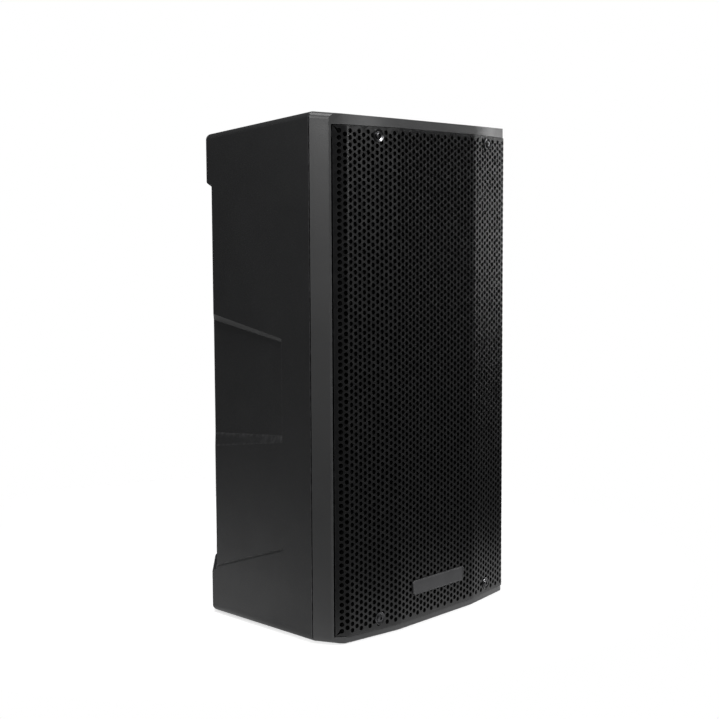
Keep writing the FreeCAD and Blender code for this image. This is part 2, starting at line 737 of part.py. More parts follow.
def compression_driver():
    plates = [
        driver_part(group(ring("driver_round", "throat_half", 8, 0, 0, 0)), 8),
        driver_part(group(ring("driver_round", 26, 5, 0, 0, 0)), 29),
    ]
    node("driver_plates", group(*plates))
    node("driver_magnet", driver_part(group(ring("driver_round", 24, 16, 0, 0, 0)), 24))
    phase_plug = ring(22, "throat_half", 20, 0, 0, 0)
    slots = [rod(1.2, 14, f"{math.cos(turn):.4f} * 17.5", f"{math.sin(turn):.4f} * 17.5", -1)
             for turn in (math.radians(45 * number) for number in range(8))]
    node("driver_phase_plug", driver_part(cut(phase_plug, *slots), 28))
    dome = turned("dome", [
        (0, -4), (10, -3.2), (19, 0), (24, 0), (24, 0.4), (18.9, 0.4), (9.9, -2.8), (0, -3.6),
    ])
    node("driver_diaphragm", driver_part(dome, 30))
    cap = turned("cap", [
        (0, -16), ("driver_round - 4", -16), ("driver_round", -12), ("driver_round", 0),
        ("driver_round - 4", 0), ("driver_round - 4", -10), (0, -10),
    ])
    node("driver_rear_cap", driver_part(cap, 29))


# ---------------------------------------------------------------- amplifier module

PANEL_BACK = "(depth - bay_deep)"
PANEL_FACE = "(depth - bay_deep + seal_thick + panel_thick)"
SIDEWAYS = Rotation(Vector(0, 1, 0), 90)
COLUMNS = ("-jack_side", "0", "jack_side")


def around(x, z, half, tall, front, rear):
    """Block centred on a point of the panel, between two planes."""
    return box(f"{x} - ({half})", f"{x} + ({half})", front, rear, f"{z} - ({tall})", f"{z} + ({tall})")


def light_columns():
    return [f"light_start + {number} * light_step" for number in range(4)]


def panel_seal():
    face = behind(f"{PANEL_BACK} + seal_thick")
    outer = box("-(bay_half - 1)", "bay_half - 1", behind(PANEL_BACK), face, "bay_low + 1", "bay_high - 1")
    inner = box("-(bay_half - bay_lip)", "bay_half - bay_lip", behind("depth - 30"), behind("depth"),
                "bay_low + bay_lip", "bay_high - bay_lip")
    node("panel_seal", cut(outer, inner))


def panel_screw_places():
    levels = ("bay_low + 6", "inlet_high + 60", "bay_high - 130", "bay_high - 6")
    return [(side, high) for side in (-1, 1) for high in levels]


def amp_panel():
    plate = box("-(bay_half - 1)", "bay_half - 1", behind(f"{PANEL_BACK} + seal_thick"), behind(PANEL_FACE),
                "bay_low + 1", "bay_high - 1")
    front = behind(f"{PANEL_BACK} - 4")
    rear = behind("depth")
    holes = [box("5 - sink_half", "sink_half - 5", front, rear, "sink_low", "bay_high - 17")]
    for x in COLUMNS:
        holes.append(rod("jack_round + 0.3", 30, x, rear, "jack_high", FORWARD))
        holes.append(box(f"{x} - latch_slot", f"{x} + latch_slot", front, rear,
                         "jack_high + 5", "jack_high + latch_top"))
        holes.append(rod("shaft_round + 1.2", 30, x, rear, "knob_high", FORWARD))
    for x in COLUMNS[:2]:
        holes.append(around(x, "button_high", "button_half + 0.5", "button_half + 0.5", front, rear))
    holes.append(around("inlet_side", "inlet_high", "inlet_half + slip", "inlet_tall + slip", front, rear))
    holes.append(around("rocker_side", "inlet_high", "rocker_half + slip", "rocker_tall + slip", front, rear))
    for x in light_columns():
        holes.append(rod("light_round + slip", 30, x, rear, "light_high", FORWARD))
    node("amp_panel", cut(plate, *holes))


def panel_screws():
    screws = []
    for side, high in panel_screw_places():
        x = f"{side} * (bay_half - 6)"
        screws.append(rod(3.6, 2.2, x, behind(f"{PANEL_FACE} + 2.2"), high, FORWARD))
    node("panel_screws", group(*screws))


def heatsink():
    base = box("-sink_half", "sink_half", behind(f"{PANEL_BACK} - 7"), behind(f"{PANEL_BACK} - 0.5"),
               "sink_low - 8", "bay_high - 13")
    fins = []
    for number in range(-7, 8):
        x = f"{number} * fin_step"
        fins.append(box(f"{x} - fin_thick / 2", f"{x} + fin_thick / 2", behind(f"{PANEL_BACK} - 1"),
                        behind("depth - 2"), "sink_low + 3", "bay_high - 20"))
    node("heatsink", fuse(base, *fins))


def amp_cover():
    edge = "(bay_half - bay_lip - 3)"
    low = "bay_low + bay_lip + 3"
    high = "sink_low - 10"
    outer = box(f"-{edge}", edge, behind(f"{PANEL_BACK} - cover_deep"), behind(f"{PANEL_BACK} + seal_thick"),
                low, high)
    inner = box(f"cover_wall - {edge}", f"{edge} - cover_wall",
                behind(f"{PANEL_BACK} - cover_deep + cover_wall"), behind(f"{PANEL_BACK} + 5"),
                f"{low} + cover_wall", f"{high} - cover_wall")
    node("amp_cover", cut(outer, inner))


def board(label, back, low, high, parts):
    """A circuit board with its larger parts fused on."""
    front = f"{PANEL_BACK} - {back}"
    plate = box("-board_half", "board_half", behind(front), behind(f"{front} + board_thick"), low, high)
    node(label, fuse(plate, *parts))


def amp_electronics():
    face = f"{PANEL_BACK} - board_back + board_thick - 0.4"
    coil_block = box(-60, -20, behind(face), behind(f"{face} + 32"), "inlet_high - 16", "inlet_high + 20")
    cans = [rod(10, 30, x, behind(f"{face} + 30"), "inlet_high + 44", FORWARD) for x in (-50, -26, -2)]
    board("power_supply", "board_back", "bay_low + 18", "inlet_high + 64", [coil_block, *cans])
    sink = box(10, 64, behind(face), behind(f"{face} + 18"), "knob_high + 30", "knob_high + 66")
    chips = [box(x, f"{x} + 12", behind(face), behind(f"{face} + 4"), "knob_high + 8", "knob_high + 20")
             for x in (-60, -30, 0)]
    board("amp_board", "board_back", "inlet_high + 68", "sink_low - 14", [sink, *chips])
    board("input_board", 27, "knob_high - 14", "jack_high + 22", [])


def connector(x, with_plug_bore):
    flange = around(x, "jack_high", "jack_plate", "jack_plate_tall", behind(PANEL_FACE),
                    behind(f"{PANEL_FACE} + flange"))
    barrel = rod("jack_round", "jack_long", x, behind(f"{PANEL_FACE} + 1"), "jack_high", FORWARD)
    mouth = rod("jack_mouth", 20, x, behind(f"{PANEL_FACE} + 3"), "jack_high", FORWARD)
    tongue = box(f"{x} - latch_slot", f"{x} + latch_slot", behind(f"{PANEL_FACE} - 6"),
                 behind(f"{PANEL_FACE} + 3"), "jack_high + jack_mouth - 0.6", "jack_high + latch_top")
    body = cut(fuse(flange, barrel), mouth, tongue)
    if not with_plug_bore:
        return body
    return fuse(body, ring("plug_round + plug_wall", "plug_round", 17, x,
                           behind(f"{PANEL_FACE} - 1"), "jack_high", FORWARD))


def connectors():
    node("combo_jacks", group(connector("-jack_side", True), connector(0, True)))
    node("link_output", connector("jack_side", False))


def link_pins():
    pins = []
    for angle in (-90, 30, 150):
        x = f"jack_side + {math.cos(math.radians(angle)):.4f} * pin_circle"
        z = f"jack_high + {math.sin(math.radians(angle)):.4f} * pin_circle"
        pins.append(rod("pin_round", 15, x, behind(f"{PANEL_FACE} - 2"), z, FORWARD))
    return pins


def latch(label, x):
    tab = box(f"{x} - latch_slot + 0.5", f"{x} + latch_slot - 0.5", behind(f"{PANEL_FACE} - 2.5"),
              behind(f"{PANEL_FACE} + 4"), "jack_high + latch_top - 4", "jack_high + latch_top - 0.5")
    node(label, tab)


def control_knob(label, x):
    """Knob with a pointer flat, on a shaft that runs back into its potentiometer."""
    skirt = rod("knob_round", "skirt_thick", x, behind(f"{PANEL_FACE} + skirt_thick + 0.6"), "knob_high",
                FORWARD)
    grip = doc.addObject("Part::Cone", "grip")
    bind(grip, "Radius1", "knob_round - 1.8")
    bind(grip, "Radius2", "knob_round - 0.8")
    bind(grip, "Height", "grip_long")
    top = f"{PANEL_FACE} + skirt_thick + grip_long"
    place(grip, x, behind(f"{top} + 0.1"), "knob_high", FORWARD)
    pointer = box(f"{x} - 0.6", f"{x} + 0.6", behind(f"{PANEL_FACE} + skirt_thick"),
                  behind(f"{top} + 0.3"), "knob_high", "knob_high + knob_round - 0.4")
    shaft = rod("shaft_round", "shaft_long", x, behind(f"{PANEL_FACE} + 0.6"), "knob_high", FORWARD)
    node(label, group(fuse(skirt, grip, pointer), shaft))


def potentiometers():
    pots = []
    for x in COLUMNS:
        can = around(x, "knob_high", "pot_half", "pot_half", behind(f"{PANEL_BACK} - pot_back"),
                     behind(f"{PANEL_BACK} - 8"))
        bore = rod("shaft_round + 0.08", 14, x, behind(f"{PANEL_BACK} - 7"), "knob_high", FORWARD)
        pots.append(cut(can, bore))
    return pots


def push_button(label, x):
    cap = around(x, "button_high", "button_half", "button_half", behind(f"{PANEL_BACK} - 2"),
                 behind(f"{PANEL_FACE} + 3"))
    node(label, cap)


def button_switches():
    return [around(x, "button_high", 5, 5, behind(f"{PANEL_BACK} - pot_back"), behind(f"{PANEL_BACK} - 5"))
            for x in COLUMNS[:2]]


def mains_inlet():
    face = behind(PANEL_FACE)
    rear = behind(f"{PANEL_FACE} + 1.6")
    past = behind("depth")
    flange = around("inlet_side", "inlet_high", "inlet_half + flange", "inlet_tall + flange + 1", face, rear)
    body = around("inlet_side", "inlet_high", "inlet_half", "inlet_tall",
                  behind(f"{PANEL_FACE} - inlet_deep"), rear)
    mouth = box("inlet_side - mouth_side", "inlet_side + mouth_side", behind(f"{PANEL_FACE} - 17"), past,
                "inlet_high + 0.5", "inlet_high + 16.5")
    drawer_bay = box("inlet_side - mouth_side", "inlet_side + mouth_side", behind(f"{PANEL_FACE} - 22"), past,
                     "inlet_high - drawer_low", "inlet_high - drawer_high")
    node("mains_inlet", cut(fuse(flange, body), mouth, drawer_bay))


def inlet_pins():
    pins = [box(f"inlet_side + {x} - 1", f"inlet_side + {x} + 1", behind(f"{PANEL_FACE} - 17"),
                behind(f"{PANEL_FACE} - 3"), f"inlet_high + {z}", f"inlet_high + {z} + 4")
            for x, z in ((-7, 5), (0, 9.5), (7, 5))]
    return pins


def fuse_drawer():
    side = "(mouth_side - 2 * slip)"
    drawer = box(f"inlet_side - {side}", f"inlet_side + {side}", behind(f"{PANEL_FACE} - 20"),
                 behind(f"{PANEL_FACE} + 2"),
                 "inlet_high - drawer_low + 0.4", "inlet_high - drawer_high - 0.4")
    pocket = box("inlet_side - 9", "inlet_side + 9", behind(f"{PANEL_FACE} - 18"),
                 behind(f"{PANEL_FACE} - 3"), "inlet_high - 13.8", "inlet_high - drawer_high")
    node("fuse_drawer", cut(drawer, pocket))
    link = rod("fuse_round", 16, "inlet_side - 8", behind(f"{PANEL_FACE} - 10"), "inlet_high - 11", SIDEWAYS)
    node("mains_fuse", link)


def power_switch():
    rear = behind(f"{PANEL_FACE} + 1.6")
    axle = behind(f"{PANEL_FACE} - 3")
    side = "rocker_side - 10"
    flange = around("rocker_side", "inlet_high", "rocker_half + 2.5", "rocker_tall + 2.5",
                    behind(PANEL_FACE), rear)
    body = around("rocker_side", "inlet_high", "rocker_half", "rocker_tall",
                  behind(f"{PANEL_FACE} - rocker_deep"), rear)
    hollow = around("rocker_side", "inlet_high", "rocker_well", "rocker_tall - 2",
                    behind(f"{PANEL_FACE} - 14"), behind("depth"))
    pin = rod("axle_round", 20, side, axle, "inlet_high", SIDEWAYS)
    node("power_switch_housing", fuse(cut(fuse(flange, body), hollow), pin))
    profile = padded("YZ_Plane", 15.2, [
        (behind(f"{PANEL_FACE} - 7"), "inlet_high - 5"), (behind(f"{PANEL_FACE} + 0.2"), "inlet_high - 10"),
        (behind(f"{PANEL_FACE} + 1.2"), "inlet_high - 10"), (behind(f"{PANEL_FACE} + 0.4"), "inlet_high"),
        (behind(f"{PANEL_FACE} + 4.6"), "inlet_high + 9.6"),
        (behind(f"{PANEL_FACE} + 3.6"), "inlet_high + 10"),
        (behind(f"{PANEL_FACE} - 7"), "inlet_high + 5"),
    ], both_ways=True)
    bore = rod("axle_round + 0.06", 20, side, axle, "inlet_high", SIDEWAYS)
    node("power_rocker", cut(place(profile, "rocker_side", 0, 0), bore))


def status_lights():
    lights = [rod("light_round", 6, x, behind(f"{PANEL_FACE} + 0.8"), "light_high", FORWARD)
              for x in light_columns()]
    node("status_lights", group(*lights))


def lead(corners, radius, bend):
    """Insulated lead that runs straight between corners and turns on tangent arcs."""
    points = [Vector(*(value(text) for text in corner)) for corner in corners]
    edges = []
    start = points[0]
    for before, corner, after in zip(points, points[1:], points[2:]):
        turn_in = corner + (before - corner).normalize() * value(bend)
        turn_out = corner + (after - corner).normalize() * value(bend)
        middle = corner + ((turn_in + turn_out) * 0.5 - corner) * (2 - math.sqrt(2))
        edges.append(Part.makeLine(start, turn_in))
        edges.append(Part.Arc(turn_in, middle, turn_out).toShape())
        start = turn_out
    edges.append(Part.makeLine(start, points[-1]))
    circle = Part.Wire(Part.makeCircle(value(radius), points[0], points[1] - points[0]))
    item = doc.addObject("Part::Feature", "lead")
    item.Shape = Part.Wire(edges).makePipeShell([circle], True, False)
    return item


def leads():
    cover_front = behind(f"{PANEL_BACK} - 82.5")
    tab = behind("floor_front + basket_deep + 20")
    woofer_lead = lead([
        (5, tab, "cone_centre + magnet_round + 7.4"), (5, tab, "sink_low + 20"),
        (5, cover_front, "sink_low + 20"), (5, cover_front, "sink_low - 4"),
    ], "lead_round", "lead_bend")
    horn_lead = lead([
        (20, behind("floor_front - horn_wall + horn_deep + 47.5"), "horn_centre"),
        (20, behind("floor_front - horn_wall + horn_deep + 70"), "horn_centre"),
        (20, behind("floor_front - horn_wall + horn_deep + 70"), "sink_low - 4"),
    ], "lead_round", "lead_bend")
    node("speaker_leads", group(woofer_lead, horn_lead))


# ---------------------------------------------------------------- build

def build():
    rear_shell()
    front_baffle()
    baffle_gasket()
    baffle_screws()
    node("grip_cups", group(grip_cup(), mirrored(grip_cup())))
    rubber_feet()
    pole_socket()
    pole_socket_screws()
    node("port_tubes", group(port_tube(-1), port_tube(1)))
    damping_foam()
    grille()
    grille_foam()
    grille_posts()
    grille_screws()
    badge_plate()
    woofer_basket()
    woofer_seal()
    woofer_surround()
    woofer_cone()
    woofer_dust_cap()
    woofer_coil()
    woofer_spider()
    woofer_motor()
    woofer_terminal()
    horn_waveguide()
    node("driver_screws", group(*woofer_screws(), *horn_screws()))
    compression_driver()
    panel_seal()
    amp_panel()
    panel_screws()
    heatsink()
    amp_cover()
    amp_electronics()
    connectors()
    for label, x in (("combo_latch_left", "-jack_side"), ("combo_latch_middle", "0")):
        latch(label, x)
    for label, x in zip(("volume_knob_left", "volume_knob_right", "preset_knob"), COLUMNS):
        control_knob(label, x)
    node("control_bodies", group(*potentiometers(), *button_switches()))
    for label, x in (("line_button_left", "-jack_side"), ("line_button_right", "0")):
        push_button(label, x)
    mains_inlet()
    node("contact_pins", group(*link_pins(), *inlet_pins()))
    fuse_drawer()
    power_switch()
    status_lights()
    leads()


def check_and_write():
    doc.recompute()
    for item in doc.Objects:
        if "Invalid" in item.State or "Error" in item.State:
            raise RuntimeError(f"{item.Name} ({item.Label}) did not compute")
    for item in NODES:
        if item.Shape.isNull() or not item.Shape.isValid() or not item.Shape.Solids:
            raise RuntimeError(f"{item.Label} is not a valid solid")
    os.makedirs("parts", exist_ok=True)
    for item in NODES:
        item.Shape.exportStep(f"parts/{item.Label}.step")


build()
check_and_write()
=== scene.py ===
import json
import math

import bmesh
import bpy
from mathutils import Matrix, Vector


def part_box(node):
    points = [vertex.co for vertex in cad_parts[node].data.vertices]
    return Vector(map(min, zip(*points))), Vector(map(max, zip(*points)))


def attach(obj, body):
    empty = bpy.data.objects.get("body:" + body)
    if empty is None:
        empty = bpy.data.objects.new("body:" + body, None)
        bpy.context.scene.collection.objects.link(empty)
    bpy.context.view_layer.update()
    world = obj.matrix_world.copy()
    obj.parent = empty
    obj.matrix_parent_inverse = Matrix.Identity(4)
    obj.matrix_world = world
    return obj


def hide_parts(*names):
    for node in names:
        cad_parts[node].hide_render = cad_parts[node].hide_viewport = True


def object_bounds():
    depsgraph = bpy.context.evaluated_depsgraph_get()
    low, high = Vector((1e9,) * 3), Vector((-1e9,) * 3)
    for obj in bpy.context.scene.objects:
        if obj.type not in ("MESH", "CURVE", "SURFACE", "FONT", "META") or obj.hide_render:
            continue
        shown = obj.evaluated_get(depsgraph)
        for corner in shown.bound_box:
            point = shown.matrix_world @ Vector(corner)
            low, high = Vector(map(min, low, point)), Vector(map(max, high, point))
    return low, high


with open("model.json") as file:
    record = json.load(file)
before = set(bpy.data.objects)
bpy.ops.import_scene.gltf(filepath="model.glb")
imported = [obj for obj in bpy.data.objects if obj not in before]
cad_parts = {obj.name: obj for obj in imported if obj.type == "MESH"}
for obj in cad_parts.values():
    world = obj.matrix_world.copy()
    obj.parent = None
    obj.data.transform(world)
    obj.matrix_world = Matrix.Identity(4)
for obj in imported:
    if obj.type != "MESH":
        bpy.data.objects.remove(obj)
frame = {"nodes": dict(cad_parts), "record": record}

# Looks for the powered loudspeaker. Everything is in metres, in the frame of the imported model.

CAD_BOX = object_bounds()
NODES = frame["nodes"]
FLOOR_LEVEL = CAD_BOX[0][2]

# Grille
HOLE_PITCH = 0.0081
HOLE_RADIUS = 0.00305
HOLE_SIDES = 12
SHEET_THICK = 0.0013
PLAIN_EDGE = 0.0012
FOLD_HALF = 0.076
WING_HALF = 0.158
WING_BACK = 0.012
LIP_HALF = 0.1705
LIP_BACK = 0.024
BEND_REACH = 0.0025
FOAM_SET = 0.0026
FOAM_THICK = 0.004
FOAM_STEP = 0.006
FOAM_SIDE = 0.007
FOAM_LIFT = 0.0004
FOAM_SWELL = 0.0003
FIXING_HALF = 0.110

# Badge
BADGE_CUT = 0.0026
BADGE_TAPER = 0.0012

# Soft parts
CLOTH_THICK = 0.0008
ROLL_RIM = 0.001
ROLL_STEPS = 20
SPIDER_GAP = 0.0006
SPIDER_WAVES = 4
SPIDER_STEPS = 48
PAD_VOXEL = 0.004
PAD_LOFT = 0.003
PAD_LOFT_SIZE = 0.03

# Grain of the moulded plastic
GRAIN_SCALE = 900.0

# Camera: place, turn and lens that match the viewing angle of the reference
CAMERA_PLACE = Vector((-1.347, -1.203, 0.496))
CAMERA_TURN = math.radians(48.68)
CAMERA_TILT = math.radians(5.32)
CAMERA_ROLL = math.radians(-0.26)
CAMERA_LENS = 67.5
ROOM_LIGHT = 0.05
FLOOR_MIDDLE = Vector((0.10, 0.30, 0.0))
FLOOR_FADE_START = 0.36
FLOOR_FADE_END = 0.68
FLOOR_GLOW = 0.60
EDGE_ANGLE = math.radians(28.0)


# ---------------------------------------------------------------- shader helpers

class Shader:
    """A node tree for one material, fed by coordinates in metres."""

    def __init__(self, name):
        self.material = bpy.data.materials.new(name)
        self.material.use_nodes = True
        self.tree = self.material.node_tree
        self.surface = self.tree.nodes["Principled BSDF"]
        self.coordinates = self.tree.nodes.new("ShaderNodeTexCoord").outputs["Object"]

    def node(self, kind, **settings):
        made = self.tree.nodes.new(kind)
        for key, setting in settings.items():
            setattr(made, key, setting)
        return made

    def link(self, source, target):
        self.tree.links.new(source, target)

    def stretched(self, factors):
        """Coordinates stretched along the axes, for brushed or woven grain."""
        mapping = self.node("ShaderNodeMapping")
        mapping.inputs["Scale"].default_value = factors
        self.link(self.coordinates, mapping.inputs["Vector"])
        return mapping.outputs["Vector"]

    def noise(self, scale, detail=4.0, vector=None, roughness=0.55):
        texture = self.node("ShaderNodeTexNoise")
        texture.inputs["Scale"].default_value = scale
        texture.inputs["Detail"].default_value = detail
        texture.inputs["Roughness"].default_value = roughness
        self.link(vector or self.coordinates, texture.inputs["Vector"])
        return texture.outputs["Fac"]

    def cells(self, scale, vector=None):
        texture = self.node("ShaderNodeTexVoronoi", feature="SMOOTH_F1")
        texture.inputs["Scale"].default_value = scale
        self.link(vector or self.coordinates, texture.inputs["Vector"])
        return texture.outputs["Distance"]

    def ramp(self, source, low, high, start=0.0, end=1.0):
        """A number that runs from low to high while the source runs from start to end."""
        made = self.node("ShaderNodeMapRange")
        for key, setting in zip(("From Min", "From Max", "To Min", "To Max"), (start, end, low, high)):
            made.inputs[key].default_value = setting
        self.link(source, made.inputs["Value"])
        return made.outputs["Result"]

    def mixed(self, factor, first, second):
        made = self.node("ShaderNodeMix", data_type="RGBA")
        for socket, colour in ((made.inputs["A"], first), (made.inputs["B"], second)):
            if isinstance(colour, tuple):
                socket.default_value = (*colour, 1.0)
            else:
                self.link(colour, socket)
        self.link(factor, made.inputs["Factor"])
        return made.outputs["Result"]

    def product(self, first, second):
        made = self.node("ShaderNodeMath", operation="MULTIPLY")
        self.link(first, made.inputs[0])
        self.link(second, made.inputs[1])
        return made.outputs["Value"]

    def edges(self, strength=1.0, reach=0.0016):
        """Near one along edges, where a finish wears, and zero on flats."""
        geometry = self.node("ShaderNodeNewGeometry")
        rounded = self.node("ShaderNodeBevel", samples=4)
        rounded.inputs["Radius"].default_value = reach
        match = self.node("ShaderNodeVectorMath", operation="DOT_PRODUCT")
        self.link(geometry.outputs["True Normal"], match.inputs[0])
        self.link(rounded.outputs["Normal"], match.inputs[1])
        worn = self.ramp(match.outputs["Value"], strength, 0.0, 0.75, 0.99)
        patches = self.ramp(self.noise(160.0, 6.0), 0.15, 1.0, 0.4, 0.65)
        return self.product(worn, patches)

    def colour(self, source):
        self.link(source, self.surface.inputs["Base Color"])

    def rough(self, source):
        self.link(source, self.surface.inputs["Roughness"])

    def bump(self, *layers):
        """Bump layers given as (height source, depth in metres), the finest last."""
        normal = None
        for source, depth in layers:
            made = self.node("ShaderNodeBump")
            made.inputs["Strength"].default_value = 1.0
            made.inputs["Distance"].default_value = depth
            self.link(source, made.inputs["Height"])
            if normal:
                self.link(normal, made.inputs["Normal"])
            normal = made.outputs["Normal"]
        self.link(normal, self.surface.inputs["Normal"])

    def settings(self, **values):
        for key, setting in values.items():
            self.surface.inputs[key.replace("_", " ")].default_value = setting


def moulded_plastic(name, base, worn, roughness, grain=0.00009, wear=0.35):
    """Satin moulded plastic with a leather-like spark-eroded texture."""
    shader = Shader(name)
    patches = shader.mixed(shader.ramp(shader.noise(9.0, 4.0), 0.0, 1.0, 0.35, 0.65), base,
                           tuple(channel * 1.12 for channel in base))
    dust = shader.mixed(shader.ramp(shader.noise(700.0, 2.0), 0.0, 0.06, 0.55, 0.75), patches, worn)
    shader.colour(shader.mixed(shader.edges(wear), dust, worn))
    shader.rough(shader.ramp(shader.noise(25.0, 6.0), roughness - 0.03, roughness + 0.04, 0.3, 0.7))
    shader.bump((shader.cells(GRAIN_SCALE), grain), (shader.noise(GRAIN_SCALE * 2.4, 2.0), grain * 0.5))
    shader.settings(Specular_IOR_Level=0.4)
    return shader.material


def coated_metal(name, base, worn, roughness, peel=0.00004, metallic=0.0):
    """Powder coat or paint with fine orange peel and a little wear on its edges."""
    shader = Shader(name)
    patches = shader.mixed(shader.ramp(shader.noise(40.0, 4.0), 0.0, 1.0, 0.3, 0.7), base,
                           tuple(channel * 1.3 for channel in base))
    shader.colour(shader.mixed(shader.edges(0.4), patches, worn))
    shader.rough(shader.ramp(shader.noise(150.0, 5.0), roughness - 0.08, roughness + 0.08, 0.3, 0.7))
    shader.bump((shader.noise(1400.0, 3.0), peel))
    shader.settings(Metallic=metallic)
    return shader.material


def bare_metal(name, base, roughness, grain=(1.0, 1.0, 60.0)):
    """Plated or brushed metal with a drawn grain and small stains."""
    shader = Shader(name)
    streaks = shader.noise(120.0, 4.0, shader.stretched(grain))
    dull = tuple(channel * 0.72 for channel in base)
    tone = shader.mixed(shader.ramp(streaks, 0.0, 1.0, 0.3, 0.7), base, dull)
    stain = tuple(channel * 0.45 for channel in base)
    shader.colour(shader.mixed(shader.ramp(shader.noise(35.0, 6.0), 0.0, 0.5, 0.55, 0.75), tone, stain))
    shader.rough(shader.ramp(streaks, roughness - 0.07, roughness + 0.12, 0.3, 0.7))
    shader.bump((streaks, 0.00003))
    shader.settings(Metallic=1.0)
    return shader.material


def foam(name, base, pore_scale=700.0, depth=0.0009):
    """Open-cell foam or wadding: pores with soft rims, their pits painted darker as painted shade."""
    shader = Shader(name)
    pores = shader.cells(pore_scale)
    # The pits of the pores are painted darker: painted shade in the pits.
    shader.colour(shader.mixed(shader.ramp(pores, 0.0, 1.0, 0.1, 0.55), tuple(c * 0.35 for c in base), base))
    shader.rough(shader.ramp(shader.noise(300.0), 0.85, 0.98))
    shader.bump((shader.noise(90.0, 4.0), 0.0012), (pores, depth))
    shader.settings(Specular_IOR_Level=0.15)
    return shader.material


def rubber(name, base, roughness=0.7):
    shader = Shader(name)
    bloom = shader.ramp(shader.noise(55.0, 6.0), 0.0, 0.6, 0.45, 0.75)
    shader.colour(shader.mixed(bloom, base, tuple(channel * 1.9 + 0.01 for channel in base)))
    shader.rough(shader.ramp(shader.noise(240.0), roughness - 0.08, roughness + 0.1, 0.3, 0.7))
    shader.bump((shader.noise(1600.0, 3.0), 0.00005))
    return shader.material


def woven_cloth(name, base, thread=0.0007):
    """Impregnated cloth with crossed threads, with painted shade between the threads."""
    shader = Shader(name)
    threads = []
    for direction in ("X", "Z"):
        wave = shader.node("ShaderNodeTexWave", bands_direction=direction)
        wave.inputs["Scale"].default_value = 0.32 / thread
        wave.inputs["Distortion"].default_value = 0.6
        shader.link(shader.coordinates, wave.inputs["Vector"])
        threads.append(wave.outputs["Fac"])
    weave = shader.product(*threads)
    # Where the threads dip, the colour is darkened: painted shade between the threads.
    shader.colour(shader.mixed(weave, tuple(channel * 0.5 for channel in base), base))
    shader.rough(shader.ramp(weave, 0.9, 0.7))
    shader.bump((weave, 0.00012))
    return shader.material


def pressed_paper(name, base):
    """Pulp cone with fibres."""
    shader = Shader(name)
    fibres = shader.noise(420.0, 8.0, shader.stretched((1.0, 3.0, 1.0)), 0.7)
    shader.colour(shader.mixed(shader.ramp(fibres, 0.0, 1.0, 0.35, 0.65), base, tuple(c * 1.8 for c in base)))
    shader.rough(shader.ramp(fibres, 0.65, 0.9))
    shader.bump((fibres, 0.0001))
    return shader.material


def wound_copper(name, base):
    """Fine enamelled turns, with painted shade in the grooves between them."""
    shader = Shader(name)
    turns = shader.node("ShaderNodeTexWave", bands_direction="Y")
    turns.inputs["Scale"].default_value = 1100.0
    shader.link(shader.coordinates, turns.inputs["Vector"])
    # The grooves between the turns are painted darker: painted shade.
    shader.colour(shader.mixed(turns.outputs["Fac"], tuple(channel * 0.35 for channel in base), base))
    shader.rough(shader.ramp(turns.outputs["Fac"], 0.5, 0.25))
    shader.bump((turns.outputs["Fac"], 0.0001))
    shader.settings(Metallic=1.0)
    return shader.material


def sintered_ferrite(name, base):
    shader = Shader(name)
    grain = shader.noise(500.0, 8.0)
    shader.colour(shader.mixed(shader.ramp(grain, 0.0, 1.0, 0.35, 0.65), base, tuple(c * 1.7 for c in base)))
    shader.rough(shader.ramp(grain, 0.5, 0.75))
    shader.bump((grain, 0.00008), (shader.cells(240.0), 0.00006))
    return shader.material


def solder_mask(name, base):
    """Circuit board with tracks that show through the mask."""
    shader = Shader(name)
    tracks = shader.node("ShaderNodeTexBrick")
    tracks.inputs["Scale"].default_value = 160.0
    tracks.inputs["Mortar Size"].default_value = 0.06
    shader.link(shader.stretched((1.0, 0.2, 1.0)), tracks.inputs["Vector"])
    shader.colour(shader.mixed(tracks.outputs["Fac"], base, tuple(channel * 2.2 for channel in base)))
    shader.rough(shader.ramp(shader.noise(200.0), 0.25, 0.45))
    shader.bump((tracks.outputs["Fac"], 0.00006))
    return shader.material


def clear_glass(name):
    shader = Shader(name)
    shader.rough(shader.ramp(shader.noise(300.0), 0.02, 0.12))
    shader.colour(shader.mixed(shader.noise(80.0), (0.9, 0.95, 0.95), (0.8, 0.88, 0.9)))
    shader.bump((shader.noise(200.0), 0.00001))
    shader.settings(Transmission_Weight=0.9, IOR=1.48)
    return shader.material


def light_lens(name, base):
    """Small moulded lens with a hint of its lamp behind it."""
    shader = Shader(name)
    glow = shader.mixed(shader.noise(900.0), base, tuple(min(1.0, channel * 1.6) for channel in base))
    shader.colour(glow)
    shader.link(glow, shader.surface.inputs["Emission Color"])
    shader.rough(shader.ramp(shader.noise(400.0), 0.15, 0.3))
    shader.bump((shader.noise(700.0), 0.00002))
    shader.settings(Emission_Strength=0.25, Coat_Weight=0.4)
    return shader.material


